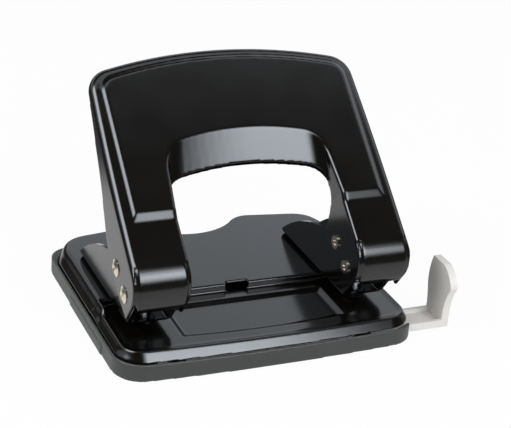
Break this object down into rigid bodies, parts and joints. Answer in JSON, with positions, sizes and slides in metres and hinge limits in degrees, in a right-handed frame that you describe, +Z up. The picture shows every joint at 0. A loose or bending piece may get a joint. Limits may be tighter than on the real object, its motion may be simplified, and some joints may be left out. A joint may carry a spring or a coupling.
{
  "type": "two-hole desk punch",
  "caption": "Desk punch with a pressed steel hand lever on two brackets, steel base, plastic chip tray and sliding paper guide.",
  "frame": {"origin": "centre of the chip tray's underside", "axes": "+X across the two holes to the operator's right, +Y away from the operator, +Z up"},
  "size_m": [0.1246, 0.0933, 0.0873],
  "materials": {
    "black_paint": "semi-gloss",
    "tray_plastic": "fine matt",
    "nickel": "nickel plated",
    "bare_steel": "ground",
    "spring_steel": "bright wire",
    "white_plastic": "smooth"
  },
  "bodies": {
    "base": {"base_plate": "black_paint", "bracket_left": "black_paint", "bracket_right": "black_paint", "bracket_rivets_left": "black_paint", "bracket_rivets_right": "black_paint", "die_plate_left": "bare_steel", "die_plate_right": "bare_steel", "guide_runner_left": "bare_steel", "guide_runner_right": "bare_steel", "spring_left": "spring_steel", "spring_right": "spring_steel"},
    "hand_lever": {"lever": "black_paint", "fulcrum_rivet_left": "nickel", "fulcrum_rivet_right": "nickel", "drive_rivet_left": "nickel", "drive_rivet_right": "nickel"},
    "left_punch": {"punch_pin_left": "bare_steel", "spring_washer_left": "bare_steel"},
    "right_punch": {"punch_pin_right": "bare_steel", "spring_washer_right": "bare_steel"},
    "tray": {"chip_tray": "tray_plastic"},
    "guide": {"paper_guide": "white_plastic"}
  },
  "joints": [
    {"name": "lever_hinge", "type": "hinge", "parent": "base", "child": "hand_lever", "pos_m": [0, -0.0314, 0.0257], "axis": [-1, 0, 0], "range_deg": [0, 30], "stiffness_Nm_per_rad": 0.6, "springref_deg": -28.65},
    {"name": "left_punch_slide", "type": "slide", "parent": "base", "child": "left_punch", "axis": [0, 0, -1], "range_m": [0, 0.0053], "deforming": ["spring_left"]},
    {"name": "right_punch_slide", "type": "slide", "parent": "base", "child": "right_punch", "axis": [0, 0, -1], "range_m": [0, 0.0053], "deforming": ["spring_right"]},
    {"name": "tray_slide", "type": "slide", "parent": "base", "child": "tray", "axis": [0, 0, -1], "range_m": [0, 0.025]},
    {"name": "guide_slide", "type": "slide", "parent": "base", "child": "guide", "axis": [1, 0, 0], "range_m": [-0.007, 0.03]}
  ],
  "couplings": [
    {"joint": "left_punch_slide", "follows": "lever_hinge", "m_per_rad": 0.0099},
    {"joint": "right_punch_slide", "follows": "lever_hinge", "m_per_rad": 0.0099}
  ]
}
